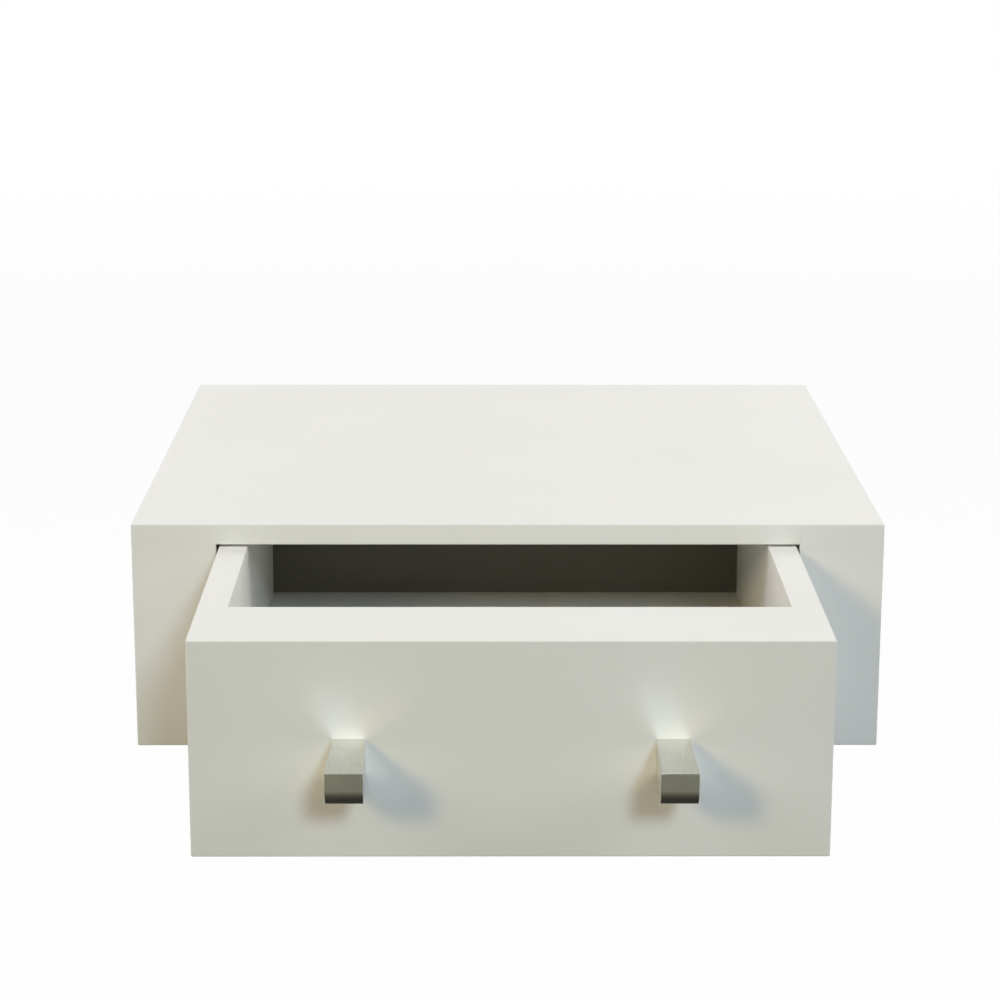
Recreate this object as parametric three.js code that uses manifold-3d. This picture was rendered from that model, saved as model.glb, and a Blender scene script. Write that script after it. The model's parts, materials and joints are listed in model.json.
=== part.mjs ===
// A wall-hung bedside table with one drawer. The case and the drawer are lacquered boards, the drawer
// runs on a pair of three-member ball runners under its floor, and two interlocking rails hang the
// case on the wall.
//
// Millimetres. The wall is the plane y = 0, the front looks along -Y and +Z is up. The origin is the
// centre of the wall rail's back face. The drawer is modelled shut and its group is moved forward.

import * as THREE from 'three';
import { mergeVertices } from 'three/addons/utils/BufferGeometryUtils.js';
import Module from 'manifold-3d';

const wasm = await Module();
wasm.setup();

// Case
const caseWidth = 500;
const caseDepth = 457.5;
const caseHeight = 154.5;
const topThickness = 14;
const cheekWidth = 56;
const cheekPanel = 16;
const stileThickness = 18;
const innerBoard = 12;
const rearPostDepth = 40;
const wallRecess = 7.5;

// Drawer
const drawerOut = 212;
const drawerWidth = 384;
const drawerHeight = 135.5;
const drawerTopGap = 1.5;
const drawerRearGap = 3;
const hollowFrontDepth = 71.5;
const frontBoard = 16;
const drawerSide = 19;
const drawerSideHeight = 119;
const drawerBack = 12;
const drawerFloor = 9;
const drawerInsideDepth = 92;
const knobBlockWidth = 40;

// Bar knobs
const knobSpacing = 193;
const knobLength = 61;
const knobHeight = 21.5;
const knobWidthAtDrawer = 20;
const knobWidthAtFront = 22;
const knobTopBelowDrawerTop = 60.75;
const knobUnderRadius = 10.5;
const knobEdge = 0.75;

// Runners
const runnerLength = 350;
const runnerSetBack = 2;
const runnerFromSide = 5;
const channelWidth = 32;
const channelHeight = 12;
const channelSheet = 1.5;
const channelLip = 2;
const screwFlange = 18;
const railHeadWidth = 14;
const railWebWidth = 6;
const railHeadStart = 3.25;
const railHeadEnd = 10.75;
const ballRadius = 3.4;
const ballHeight = 7;
const ballsInRow = 4;
const ballPitch = 44;
const cageLength = 170;
const cageSheet = 0.8;
const cageStart = 2;
const cageEnd = 10;
const runnerScrewInset = 40;

// Hanging rails
const railSheet = 2;
const railSlack = 0.5;
const wallRailLength = 440;
const caseRailLength = 460;
const wallFlangeHeight = 18;
const wallLipHeight = 16;
const caseHookDepth = 13;
const caseFlangeHeight = 20;
const wallScrewHole = 2.5;
const wallScrewPlaces = [-180, -60, 60, 180];
const caseScrewPlaces = [-222, -74, 74, 222];
const topAboveWallRail = 58;

// Screws, caps and buffers
const woodScrew = { shank: 1.75, length: 11, head: 4, headHeight: 2 };
const plateScrew = { shank: 1.5, length: 8, head: 3.5, headHeight: 1.75 };
const knobScrew = { shank: 2, length: 32, head: 4, headHeight: 2.5 };
const screwTip = 1.5;
const holeSlack = 0.25;
const knobScrewSeat = 4;
const knobScrewWell = 5.5;
const capRadius = 7.5;
const capFlange = 1.5;
const capPlug = 7;
const bufferRadius = 5;
const bufferHeight = 2.5;
const bufferSpacing = 300;
const bufferHeightAboveRail = 20;

// Heights and depths that follow from them
const topZ = topAboveWallRail;
const underTopZ = topZ - topThickness;
const bottomZ = topZ - caseHeight;
const onBottomZ = bottomZ + innerBoard;
const frontY = -caseDepth;
const halfCase = caseWidth / 2;
const halfOpening = halfCase - cheekWidth;
const recessY = -wallRecess;
const backPanelY = recessY - innerBoard;
const drawerRearY = backPanelY - drawerRearGap;
const drawerTopZ = underTopZ - drawerTopGap;
const drawerBottomZ = drawerTopZ - drawerHeight;
const hollowRearY = frontY + hollowFrontDepth;
const floorTopZ = drawerTopZ - drawerInsideDepth;
const floorUnderZ = floorTopZ - drawerFloor;
const halfDrawer = drawerWidth / 2;
const halfInside = halfDrawer - drawerSide;
const runnerFrontY = hollowRearY + runnerSetBack;
const runnerRearY = runnerFrontY + runnerLength;
const runnerX = halfInside - runnerFromSide - channelWidth / 2;
const knobTopZ = drawerTopZ - knobTopBelowDrawerTop;
const knobMiddleZ = knobTopZ - knobHeight / 2;

// Both sides of the table: a name and the sign of x
const sides = [['left', -1], ['right', 1]];

// Finishes
const finishes = {
  lacquer: { color: 0xe9e8e3, roughness: 0.45, metalness: 0 },
  rawBoard: { color: 0xb79c78, roughness: 0.85, metalness: 0 },
  facedBoard: { color: 0x776e62, roughness: 0.6, metalness: 0 },
  satinNickel: { color: 0xb9b7ad, roughness: 0.38, metalness: 1 },
  zincSteel: { color: 0xb6bac0, roughness: 0.35, metalness: 1 },
  millAluminium: { color: 0xc9cbcd, roughness: 0.42, metalness: 1 },
  whitePlastic: { color: 0xe6e5e0, roughness: 0.5, metalness: 0 },
  softRubber: { color: 0xc9cac6, roughness: 0.7, metalness: 0 },
};

function named(name, finish, geometry) {
  const mesh = new THREE.Mesh(geometry, new THREE.MeshStandardMaterial(finishes[finish]));
  mesh.name = name;
  return mesh;
}

// Joining and cutting of closed geometries
function asSolid(geometry) {
  const bare = geometry.clone();
  bare.deleteAttribute('normal');
  bare.deleteAttribute('uv');
  const merged = mergeVertices(bare, 1e-4);
  return new wasm.Manifold(new wasm.Mesh({
    numProp: 3,
    vertProperties: new Float32Array(merged.attributes.position.array),
    triVerts: new Uint32Array(merged.index.array),
  }));
}

function asGeometry(solid) {
  const mesh = solid.getMesh();
  const geometry = new THREE.BufferGeometry();
  geometry.setAttribute('position', new THREE.BufferAttribute(mesh.vertProperties, 3));
  geometry.setIndex(new THREE.BufferAttribute(mesh.triVerts, 1));
  geometry.computeVertexNormals();
  return geometry;
}

function cut(geometry, tools) {
  const left = tools.reduce((solid, tool) => solid.subtract(asSolid(tool)), asSolid(geometry));
  return asGeometry(left);
}

function join(geometry, pieces) {
  const whole = pieces.reduce((solid, piece) => solid.add(asSolid(piece)), asSolid(geometry));
  return asGeometry(whole);
}

// A round bar from one point to another, used to drill holes
function drill(from, to, radius) {
  const run = new THREE.Vector3().subVectors(to, from);
  const geometry = new THREE.CylinderGeometry(radius, radius, run.length(), 16);
  const turn = new THREE.Quaternion().setFromUnitVectors(new THREE.Vector3(0, 1, 0), run.normalize());
  const middle = new THREE.Vector3().addVectors(from, to).multiplyScalar(0.5);
  return geometry.applyQuaternion(turn).translate(middle.x, middle.y, middle.z);
}

// A rectangular board between two opposite corners; each hole is [from, to, radius]
function board(name, finish, x, y, z, holes = []) {
  const corners = new THREE.Box3().setFromPoints([
    new THREE.Vector3(x[0], y[0], z[0]),
    new THREE.Vector3(x[1], y[1], z[1]),
  ]);
  const size = corners.getSize(new THREE.Vector3());
  const centre = corners.getCenter(new THREE.Vector3());
  let geometry = new THREE.BoxGeometry(size.x, size.y, size.z);
  if (holes.length) {
    const tools = holes.map(([from, to, radius]) => drill(from, to, radius));
    tools.forEach((tool) => tool.translate(-centre.x, -centre.y, -centre.z));
    geometry = cut(geometry, tools);
  }
  const mesh = named(name, finish, geometry);
  mesh.position.copy(centre);
  return mesh;
}

// A pan-head screw along local Y, with its head on the +Y side of y = 0 and a cross recess
function screw(name, { shank, length, head, headHeight }) {
  const outline = [
    [0, -length],
    [shank, -length + screwTip],
    [shank, 0],
    [head, 0],
    [head, headHeight * 0.4],
    [head * 0.7, headHeight * 0.9],
    [0, headHeight],
  ].map(([radius, height]) => new THREE.Vector2(radius, height));
  const body = new THREE.LatheGeometry(outline, 12);
  const slotDepth = headHeight * 0.6;
  const slots = [[head, head * 0.22], [head * 0.22, head]].map(([wide, deep]) => {
    const slot = new THREE.BoxGeometry(wide, slotDepth * 2, deep);
    return slot.translate(0, headHeight, 0);
  });
  return named(name, 'zincSteel', cut(body, slots));
}

// A profile of [across, up] points, extruded towards the front and standing on its rear end
function extrusion(profile, length) {
  const shape = new THREE.Shape(profile.map(([across, up]) => new THREE.Vector2(across, up)));
  return new THREE.ExtrudeGeometry(shape, { depth: length, bevelEnabled: false });
}

function placeExtrusion(mesh, x, rearY, z) {
  mesh.rotation.x = Math.PI / 2;
  mesh.position.set(x, rearY, z);
  return mesh;
}

const point = (x, y, z) => new THREE.Vector3(x, y, z);

// Case: top, bottom and back
const caseGroup = new THREE.Group();
const fullWidth = [-halfCase, halfCase];
const openingWidth = [-halfOpening, halfOpening];
const bottomScrewHoles = [];
const backScrewHoles = [];

for (const [, sign] of sides) {
  for (const y of [runnerFrontY + runnerScrewInset, runnerRearY - runnerScrewInset]) {
    const x = sign * (runnerX - channelWidth / 2 - screwFlange / 2);
    const from = point(x, y, onBottomZ + 1);
    const to = point(x, y, onBottomZ - plateScrew.length);
    bottomScrewHoles.push([from, to, plateScrew.shank + holeSlack]);
  }
}

const caseScrewZ = wallFlangeHeight / 2 - railSheet + wallLipHeight + caseFlangeHeight / 2;
for (const x of caseScrewPlaces.filter((place) => Math.abs(place) < halfOpening)) {
  const from = point(x, recessY + 1, caseScrewZ);
  const to = point(x, recessY - woodScrew.length + railSheet - holeSlack, caseScrewZ);
  backScrewHoles.push([from, to, woodScrew.shank + holeSlack]);
}

caseGroup.add(board('top_panel', 'lacquer', fullWidth, [frontY, 0], [underTopZ, topZ]));
caseGroup.add(board('bottom_panel', 'lacquer', openingWidth, [runnerFrontY, recessY],
  [bottomZ, onBottomZ], bottomScrewHoles));
caseGroup.add(board('back_panel', 'lacquer', openingWidth, [backPanelY, recessY],
  [onBottomZ, underTopZ], backScrewHoles));

// Case: hollow cheeks, each a stile over two panels that a rear post and an underside strip hold apart
for (const [side, sign] of sides) {
  const outerFace = sign * halfCase;
  const outerInside = sign * (halfCase - cheekPanel);
  const innerInside = sign * (halfOpening + cheekPanel);
  const innerFace = sign * halfOpening;
  const stileRearY = frontY + stileThickness;
  const postScrewX = sign * Math.max(...caseScrewPlaces);
  const postHole = [
    point(postScrewX, recessY + 1, caseScrewZ),
    point(postScrewX, recessY - woodScrew.length + railSheet - holeSlack, caseScrewZ),
    woodScrew.shank + holeSlack,
  ];
  caseGroup.add(board(`${side}_front_stile`, 'lacquer', [innerFace, outerFace],
    [frontY, stileRearY], [bottomZ, underTopZ]));
  caseGroup.add(board(`${side}_outer_panel`, 'lacquer', [outerInside, outerFace],
    [stileRearY, 0], [bottomZ, underTopZ]));
  caseGroup.add(board(`${side}_inner_panel`, 'lacquer', [innerFace, innerInside],
    [stileRearY, recessY], [bottomZ, underTopZ]));
  caseGroup.add(board(`${side}_underside_strip`, 'lacquer', [innerInside, outerInside],
    [stileRearY, recessY], [bottomZ, onBottomZ]));
  caseGroup.add(board(`${side}_rear_post`, 'rawBoard', [innerInside, outerInside],
    [recessY - rearPostDepth, recessY], [onBottomZ, underTopZ], [postHole]));
}

// Hanging rails: two Z-shaped bars, each drawn as [out from the wall, up] and extruded across
const wallFlangeTop = wallFlangeHeight / 2;
const wallLipFoot = wallFlangeTop - railSheet;
const wallLipTop = wallLipFoot + wallLipHeight;
const hookOut = railSlack + railSheet;
const lipIn = hookOut + railSlack;
const wallRailProfile = [
  [0, -wallFlangeHeight / 2],
  [railSheet, -wallFlangeHeight / 2],
  [railSheet, wallLipFoot],
  [lipIn + railSheet, wallLipFoot],
  [lipIn + railSheet, wallLipTop],
  [lipIn, wallLipTop],
  [lipIn, wallFlangeTop],
  [0, wallFlangeTop],
];
const caseRailProfile = [
  [railSlack, wallLipTop + railSheet - caseHookDepth],
  [hookOut, wallLipTop + railSheet - caseHookDepth],
  [hookOut, wallLipTop],
  [wallRecess, wallLipTop],
  [wallRecess, wallLipTop + caseFlangeHeight],
  [wallRecess - railSheet, wallLipTop + caseFlangeHeight],
  [wallRecess - railSheet, wallLipTop + railSheet],
  [railSlack, wallLipTop + railSheet],
];

// The profile's x runs out from the wall, its y runs up, and the extrusion runs along -X
function hangingRail(name, profile, length, places, screwZ, radius) {
  const bar = extrusion(profile, length);
  bar.translate(0, 0, -length / 2);
  const holes = places.map((place) => {
    return drill(point(-1, screwZ, place), point(wallRecess + 1, screwZ, place), radius);
  });
  const mesh = named(name, 'millAluminium', cut(bar, holes));
  const basis = new THREE.Matrix4().makeBasis(point(0, -1, 0), point(0, 0, 1), point(-1, 0, 0));
  mesh.quaternion.setFromRotationMatrix(basis);
  return mesh;
}

caseGroup.add(hangingRail('wall_rail', wallRailProfile, wallRailLength, wallScrewPlaces, 0,
  wallScrewHole));
caseGroup.add(hangingRail('case_rail', caseRailProfile, caseRailLength, caseScrewPlaces, caseScrewZ,
  woodScrew.shank + holeSlack));
caseScrewPlaces.forEach((x, index) => {
  const fastener = screw(`case_rail_screw_${index + 1}`, woodScrew);
  fastener.position.set(x, recessY + railSheet, caseScrewZ);
  caseGroup.add(fastener);
});

// Rubber buffers that the drawer's back stops against
for (const [side, sign] of sides) {
  const outline = [
    [0, 0],
    [bufferRadius, 0],
    [bufferRadius * 0.8, bufferHeight],
    [0, bufferHeight],
  ].map(([radius, height]) => new THREE.Vector2(radius, height));
  const buffer = named(`${side}_stop_buffer`, 'softRubber', new THREE.LatheGeometry(outline, 16));
  buffer.rotation.x = Math.PI;
  buffer.position.set(sign * bufferSpacing / 2, backPanelY, bufferHeightAboveRail);
  caseGroup.add(buffer);
}

// Runners. A channel is drawn once, on the case's bottom panel; the drawer's channel is the same
// section upside down, and the middle rail has a head for each of them.
const drawerGroup = new THREE.Group();
const lowerCageGroup = new THREE.Group();
const middleGroup = new THREE.Group();
const upperCageGroup = new THREE.Group();

const halfChannel = channelWidth / 2;
const channelInside = halfChannel - channelSheet;
const lipInside = channelInside - channelLip;
const flangeEnd = halfChannel + screwFlange;
const ballAcross = (channelInside + railHeadWidth / 2) / 2;

const channelProfile = [
  [-flangeEnd, 0],
  [halfChannel, 0],
  [halfChannel, channelHeight],
  [lipInside, channelHeight],
  [lipInside, channelHeight - channelSheet],
  [channelInside, channelHeight - channelSheet],
  [channelInside, channelSheet],
  [-channelInside, channelSheet],
  [-channelInside, channelHeight - channelSheet],
  [-lipInside, channelHeight - channelSheet],
  [-lipInside, channelHeight],
  [-halfChannel, channelHeight],
  [-halfChannel, channelSheet],
  [-flangeEnd, channelSheet],
];

const cageOutside = ballAcross + cageSheet / 2;
const cageInside = ballAcross - cageSheet / 2;
const cageProfile = [
  [-cageOutside, cageStart],
  [cageOutside, cageStart],
  [cageOutside, cageEnd],
  [cageInside, cageEnd],
  [cageInside, cageStart + cageSheet],
  [-cageInside, cageStart + cageSheet],
  [-cageInside, cageEnd],
  [-cageOutside, cageEnd],
];

const runnerGap = floorUnderZ - onBottomZ;
const halfHead = railHeadWidth / 2;
const halfWeb = railWebWidth / 2;
const middleProfile = [
  [-halfHead, railHeadStart],
  [halfHead, railHeadStart],
  [halfHead, railHeadEnd],
  [halfWeb, railHeadEnd],
  [halfWeb, runnerGap - railHeadEnd],
  [halfHead, runnerGap - railHeadEnd],
  [halfHead, runnerGap - railHeadStart],
  [-halfHead, runnerGap - railHeadStart],
  [-halfHead, runnerGap - railHeadEnd],
  [-halfWeb, runnerGap - railHeadEnd],
  [-halfWeb, railHeadEnd],
  [-halfHead, railHeadEnd],
];

// Turns a section over, and swaps its sides so that the screw flange stays inboard
const upsideDown = (profile) => profile.map(([across, up]) => [across, -up]);
const mirrored = (profile, sign) => profile.map(([across, up]) => [sign * across, up]);

const screwAcross = -(halfChannel + screwFlange / 2);
const screwAlong = [runnerScrewInset, runnerLength - runnerScrewInset];

function channel(name, sign, profile) {
  const bar = extrusion(mirrored(profile, sign), runnerLength);
  const x = sign * screwAcross;
  const radius = plateScrew.shank + holeSlack;
  const reach = 2 * channelSheet;
  const holes = screwAlong.map((along) => drill(point(x, -reach, along), point(x, reach, along), radius));
  return named(name, 'zincSteel', cut(bar, holes));
}

function ballCage(name, sign, direction) {
  const profile = direction > 0 ? cageProfile : upsideDown(cageProfile);
  const strip = extrusion(mirrored(profile, sign), cageLength);
  const balls = [];
  for (let index = 0; index < ballsInRow; index += 1) {
    const along = cageLength / 2 + (index - (ballsInRow - 1) / 2) * ballPitch;
    for (const across of [-ballAcross, ballAcross]) {
      const ball = new THREE.SphereGeometry(ballRadius, 8, 6);
      balls.push(ball.translate(across, direction * ballHeight, along));
    }
  }
  return named(name, 'zincSteel', join(strip, balls));
}

const cageRearY = (runnerFrontY + runnerRearY) / 2 + cageLength / 2;

for (const [side, sign] of sides) {
  const x = sign * runnerX;
  const lower = channel(`${side}_lower_channel`, sign, channelProfile);
  const upper = channel(`${side}_upper_channel`, sign, upsideDown(channelProfile));
  const middleBar = extrusion(middleProfile, runnerLength);
  const middle = named(`${side}_middle_rail`, 'zincSteel', middleBar);
  const lowerCage = ballCage(`${side}_lower_ball_cage`, sign, 1);
  const upperCage = ballCage(`${side}_upper_ball_cage`, sign, -1);
  caseGroup.add(placeExtrusion(lower, x, runnerRearY, onBottomZ));
  lowerCageGroup.add(placeExtrusion(lowerCage, x, cageRearY, onBottomZ));
  middleGroup.add(placeExtrusion(middle, x, runnerRearY, onBottomZ));
  upperCageGroup.add(placeExtrusion(upperCage, x, cageRearY, floorUnderZ));
  drawerGroup.add(placeExtrusion(upper, x, runnerRearY, floorUnderZ));
  screwAlong.forEach((along, index) => {
    const screwX = sign * (runnerX + screwAcross);
    const place = index === 0 ? 'rear' : 'front';
    const lowerScrew = screw(`${side}_lower_channel_screw_${place}`, plateScrew);
    lowerScrew.rotation.x = Math.PI / 2;
    lowerScrew.position.set(screwX, runnerRearY - along, onBottomZ + channelSheet);
    caseGroup.add(lowerScrew);
    const upperScrew = screw(`${side}_upper_channel_screw_${place}`, plateScrew);
    upperScrew.rotation.x = -Math.PI / 2;
    upperScrew.position.set(screwX, runnerRearY - along, floorUnderZ - channelSheet);
    drawerGroup.add(upperScrew);
  });
}

// Drawer: hollow front of two boards, two caps, two end blocks and a block behind each knob
const drawerAcross = [-halfDrawer, halfDrawer];
const faceRearY = frontY + frontBoard;
const innerFrontY = hollowRearY - frontBoard;
const capTopUnderZ = drawerTopZ - frontBoard;
const capBottomTopZ = drawerBottomZ + frontBoard;
const knobXs = sides.map(([, sign]) => sign * knobSpacing / 2);
const seatY = faceRearY + knobScrewSeat;

const shankHoles = knobXs.map((x) => [
  point(x, frontY - 1, knobMiddleZ),
  point(x, seatY + 1, knobMiddleZ),
  knobScrew.shank + holeSlack,
]);
const wellHoles = knobXs.map((x) => [
  point(x, seatY, knobMiddleZ),
  point(x, hollowRearY + 1, knobMiddleZ),
  knobScrewWell,
]);

drawerGroup.add(board('drawer_face_panel', 'lacquer', drawerAcross, [frontY, faceRearY],
  [drawerBottomZ, drawerTopZ], shankHoles));
drawerGroup.add(board('drawer_inner_front', 'lacquer', drawerAcross, [innerFrontY, hollowRearY],
  [drawerBottomZ, drawerTopZ], wellHoles));
drawerGroup.add(board('drawer_front_top_cap', 'lacquer', drawerAcross, [faceRearY, innerFrontY],
  [capTopUnderZ, drawerTopZ]));
drawerGroup.add(board('drawer_front_bottom_cap', 'lacquer', drawerAcross, [faceRearY, innerFrontY],
  [drawerBottomZ, capBottomTopZ]));

sides.forEach(([side, sign], index) => {
  const knobX = sign * knobSpacing / 2;
  const blockAcross = [knobX - knobBlockWidth / 2, knobX + knobBlockWidth / 2];
  drawerGroup.add(board(`${side}_front_end_block`, 'lacquer',
    [sign * (halfDrawer - frontBoard), sign * halfDrawer],
    [faceRearY, innerFrontY], [capBottomTopZ, capTopUnderZ]));
  drawerGroup.add(board(`${side}_knob_block`, 'rawBoard', blockAcross,
    [faceRearY, innerFrontY], [capBottomTopZ, capTopUnderZ], [shankHoles[index], wellHoles[index]]));
});

// Drawer: box behind the front
const sideFootZ = drawerTopZ - drawerSideHeight;
const backFrontY = drawerRearY - drawerBack;
const insideAcross = [-halfInside, halfInside];
const floorScrewHoles = [];

for (const [side, sign] of sides) {
  drawerGroup.add(board(`${side}_drawer_side`, 'lacquer', [sign * halfInside, sign * halfDrawer],
    [hollowRearY, drawerRearY], [sideFootZ, drawerTopZ]));
  for (const along of screwAlong) {
    const x = sign * (runnerX + screwAcross);
    const y = runnerRearY - along;
    const from = point(x, y, floorUnderZ - 1);
    const to = point(x, y, floorUnderZ + plateScrew.length);
    floorScrewHoles.push([from, to, plateScrew.shank + holeSlack]);
  }
}

drawerGroup.add(board('drawer_back', 'facedBoard', insideAcross, [backFrontY, drawerRearY],
  [floorUnderZ, drawerTopZ]));
drawerGroup.add(board('drawer_floor', 'lacquer', insideAcross, [hollowRearY, backFrontY],
  [floorUnderZ, floorTopZ], floorScrewHoles));

// Bar knobs: a side outline with a rounded lower front corner, extruded across and widened forwards
const knobHoleDepth = 14;

function barKnob(name, x) {
  const outline = new THREE.Shape();
  outline.moveTo(0, 0);
  outline.lineTo(knobLength - knobUnderRadius, 0);
  outline.absarc(knobLength - knobUnderRadius, knobUnderRadius, knobUnderRadius, -Math.PI / 2, 0);
  outline.lineTo(knobLength, knobHeight - knobEdge);
  outline.lineTo(knobLength - knobEdge, knobHeight);
  outline.lineTo(0, knobHeight);
  const bar = new THREE.ExtrudeGeometry(outline, { depth: 1, bevelEnabled: false, curveSegments: 6 });
  bar.translate(0, -knobHeight / 2, -0.5);
  const corners = bar.attributes.position;
  for (let index = 0; index < corners.count; index += 1) {
    const forward = corners.getX(index) / knobLength;
    const width = THREE.MathUtils.lerp(knobWidthAtDrawer, knobWidthAtFront, forward);
    corners.setZ(index, corners.getZ(index) * width);
  }
  const hole = drill(point(-1, 0, 0), point(knobHoleDepth, 0, 0), knobScrew.shank + holeSlack);
  const mesh = named(name, 'satinNickel', cut(bar, [hole]));
  const basis = new THREE.Matrix4().makeBasis(point(0, -1, 0), point(0, 0, 1), point(-1, 0, 0));
  mesh.quaternion.setFromRotationMatrix(basis);
  mesh.position.set(x, frontY, knobMiddleZ);
  return mesh;
}

// The cap's flange lies on the inner front's back face and its plug fills the mouth of the well
function screwCap(name, x) {
  const plugRadius = knobScrewWell - holeSlack;
  const outline = [
    [0, -capPlug],
    [plugRadius, -capPlug],
    [plugRadius, 0],
    [capRadius, 0],
    [capRadius * 0.85, capFlange],
    [0, capFlange],
  ].map(([radius, height]) => new THREE.Vector2(radius, height));
  const cap = named(name, 'whitePlastic', new THREE.LatheGeometry(outline, 20));
  cap.position.set(x, hollowRearY, knobMiddleZ);
  return cap;
}

sides.forEach(([side], index) => {
  const x = knobXs[index];
  const fastener = screw(`${side}_knob_screw`, knobScrew);
  fastener.position.set(x, seatY, knobMiddleZ);
  drawerGroup.add(barKnob(`${side}_knob`, x));
  drawerGroup.add(fastener);
  drawerGroup.add(screwCap(`${side}_screw_cap`, x));
});

// The drawer stands open as photographed. The middle rails travel half as far, and each ball cage
// travels midway between the two members that it rolls on.
drawerGroup.position.y = -drawerOut;
middleGroup.position.y = -drawerOut / 2;
lowerCageGroup.position.y = -drawerOut / 4;
upperCageGroup.position.y = -drawerOut * 3 / 4;

const nightstand = new THREE.Group();
nightstand.add(caseGroup, lowerCageGroup, middleGroup, upperCageGroup, drawerGroup);

export default nightstand;
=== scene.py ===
import json
import math
import bmesh
import bpy
from mathutils import Matrix, Vector

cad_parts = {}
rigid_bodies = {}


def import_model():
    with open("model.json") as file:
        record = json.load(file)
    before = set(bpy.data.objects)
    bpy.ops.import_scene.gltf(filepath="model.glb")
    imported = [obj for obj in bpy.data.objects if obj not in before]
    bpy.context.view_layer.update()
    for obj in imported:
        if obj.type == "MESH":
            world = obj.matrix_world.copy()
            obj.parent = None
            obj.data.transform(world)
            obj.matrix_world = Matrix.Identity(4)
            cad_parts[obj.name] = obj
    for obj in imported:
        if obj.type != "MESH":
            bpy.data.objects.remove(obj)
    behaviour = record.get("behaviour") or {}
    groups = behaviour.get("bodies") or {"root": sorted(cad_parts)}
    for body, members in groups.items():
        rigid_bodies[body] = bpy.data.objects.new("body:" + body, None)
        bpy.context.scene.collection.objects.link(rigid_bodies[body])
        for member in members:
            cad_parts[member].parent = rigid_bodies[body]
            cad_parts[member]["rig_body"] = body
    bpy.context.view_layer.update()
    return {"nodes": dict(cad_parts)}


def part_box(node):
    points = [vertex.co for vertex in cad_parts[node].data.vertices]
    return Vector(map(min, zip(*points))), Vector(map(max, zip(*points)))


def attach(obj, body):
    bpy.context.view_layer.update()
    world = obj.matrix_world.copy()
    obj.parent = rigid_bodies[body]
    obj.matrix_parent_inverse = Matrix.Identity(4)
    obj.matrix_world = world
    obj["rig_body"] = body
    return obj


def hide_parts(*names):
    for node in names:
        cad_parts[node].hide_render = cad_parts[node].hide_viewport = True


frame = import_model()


# Case boards
# Fibreboard panels, glued and sanded flush, then sprayed with white satin lacquer as one case, so that
# no joint shows. Only the edges that no other board continues are eased before spraying.
CASE_BOARDS = ["top_panel", "bottom_panel", "back_panel"]
CHEEK_BOARDS = ["front_stile", "outer_panel", "inner_panel", "underside_strip"]
SIDES = ["left", "right"]
EASED_EDGE = 0.0008
EASING_STEPS = 3
PROBE = 0.0003
WELD = 0.000001
WELD_DIGITS = 6
IN_PLANE = 0.00001
CLEAR_OF_CORNER = 3
FLAT_WITHIN = math.radians(1)
CORNER_FROM = math.radians(60)
SHARP_FROM = math.radians(50)
LARGE_FACES_FIRST = 100
PATTERN_LOW = 0.3
PATTERN_HIGH = 0.7
LACQUER_WHITE = (234, 233, 228)
LACQUER_SHADE = (231, 230, 224)
LACQUER_ROUGHNESS = (0.54, 0.62)
CLOUDS_PER_METRE = 6
PEEL_PER_METRE = 420
PEEL_DEPTH = 0.000014
DUST_PER_METRE = 1500
DUST_DEPTH = 0.000004


def linear(colour):
    """A colour written 0 to 255, as the shader takes it."""
    shares = [part / 255 for part in colour]
    return [s / 12.92 if s <= 0.04045 else ((s + 0.055) / 1.055) ** 2.4 for s in shares] + [1.0]


def shader_of(finish):
    return finish.node_tree.nodes["Principled BSDF"]


def new_finish(name, metallic=0.0):
    """A material with its shader and the object's own coordinates."""
    finish = bpy.data.materials.new(name)
    finish.use_nodes = True
    shader_of(finish).inputs["Metallic"].default_value = metallic
    finish.node_tree.nodes.new("ShaderNodeTexCoord")
    return finish


def noise(finish, per_metre, along=(1, 1, 1), detail=3.0):
    """Noise with this many waves to the metre, drawn out where along is small."""
    tree = finish.node_tree
    stretch = tree.nodes.new("ShaderNodeMapping")
    stretch.inputs["Scale"].default_value = along
    waves = tree.nodes.new("ShaderNodeTexNoise")
    waves.inputs["Scale"].default_value = per_metre
    waves.inputs["Detail"].default_value = detail
    place = tree.nodes["Texture Coordinate"]
    tree.links.new(place.outputs["Object"], stretch.inputs["Vector"])
    tree.links.new(stretch.outputs["Vector"], waves.inputs["Vector"])
    return waves.outputs["Fac"]


def colour_by(finish, pattern, dark, light, start=PATTERN_LOW, end=PATTERN_HIGH):
    """The pattern runs the surface from its dark to its light colour."""
    tree = finish.node_tree
    ramp = tree.nodes.new("ShaderNodeValToRGB")
    ramp.color_ramp.elements[0].position = start
    ramp.color_ramp.elements[1].position = end
    ramp.color_ramp.elements[0].color = linear(dark)
    ramp.color_ramp.elements[1].color = linear(light)
    tree.links.new(pattern, ramp.inputs["Fac"])
    tree.links.new(ramp.outputs["Color"], shader_of(finish).inputs["Base Color"])


def roughness_by(finish, pattern, smooth, rough):
    """The pattern runs the surface from smooth to rough."""
    tree = finish.node_tree
    run = tree.nodes.new("ShaderNodeMapRange")
    run.inputs["From Min"].default_value = PATTERN_LOW
    run.inputs["From Max"].default_value = PATTERN_HIGH
    run.inputs["To Min"].default_value = smooth
    run.inputs["To Max"].default_value = rough
    tree.links.new(pattern, run.inputs["Value"])
    tree.links.new(run.outputs["Result"], shader_of(finish).inputs["Roughness"])


def relief(finish, layers):
    """Stacks bumps, each a pattern and its depth in metres, under the shader."""
    tree = finish.node_tree
    below = None
    for pattern, depth in layers:
        bump = tree.nodes.new("ShaderNodeBump")
        bump.inputs["Distance"].default_value = depth
        tree.links.new(pattern, bump.inputs["Height"])
        if below:
            tree.links.new(below, bump.inputs["Normal"])
        below = bump.outputs["Normal"]
    tree.links.new(below, shader_of(finish).inputs["Normal"])


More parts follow.
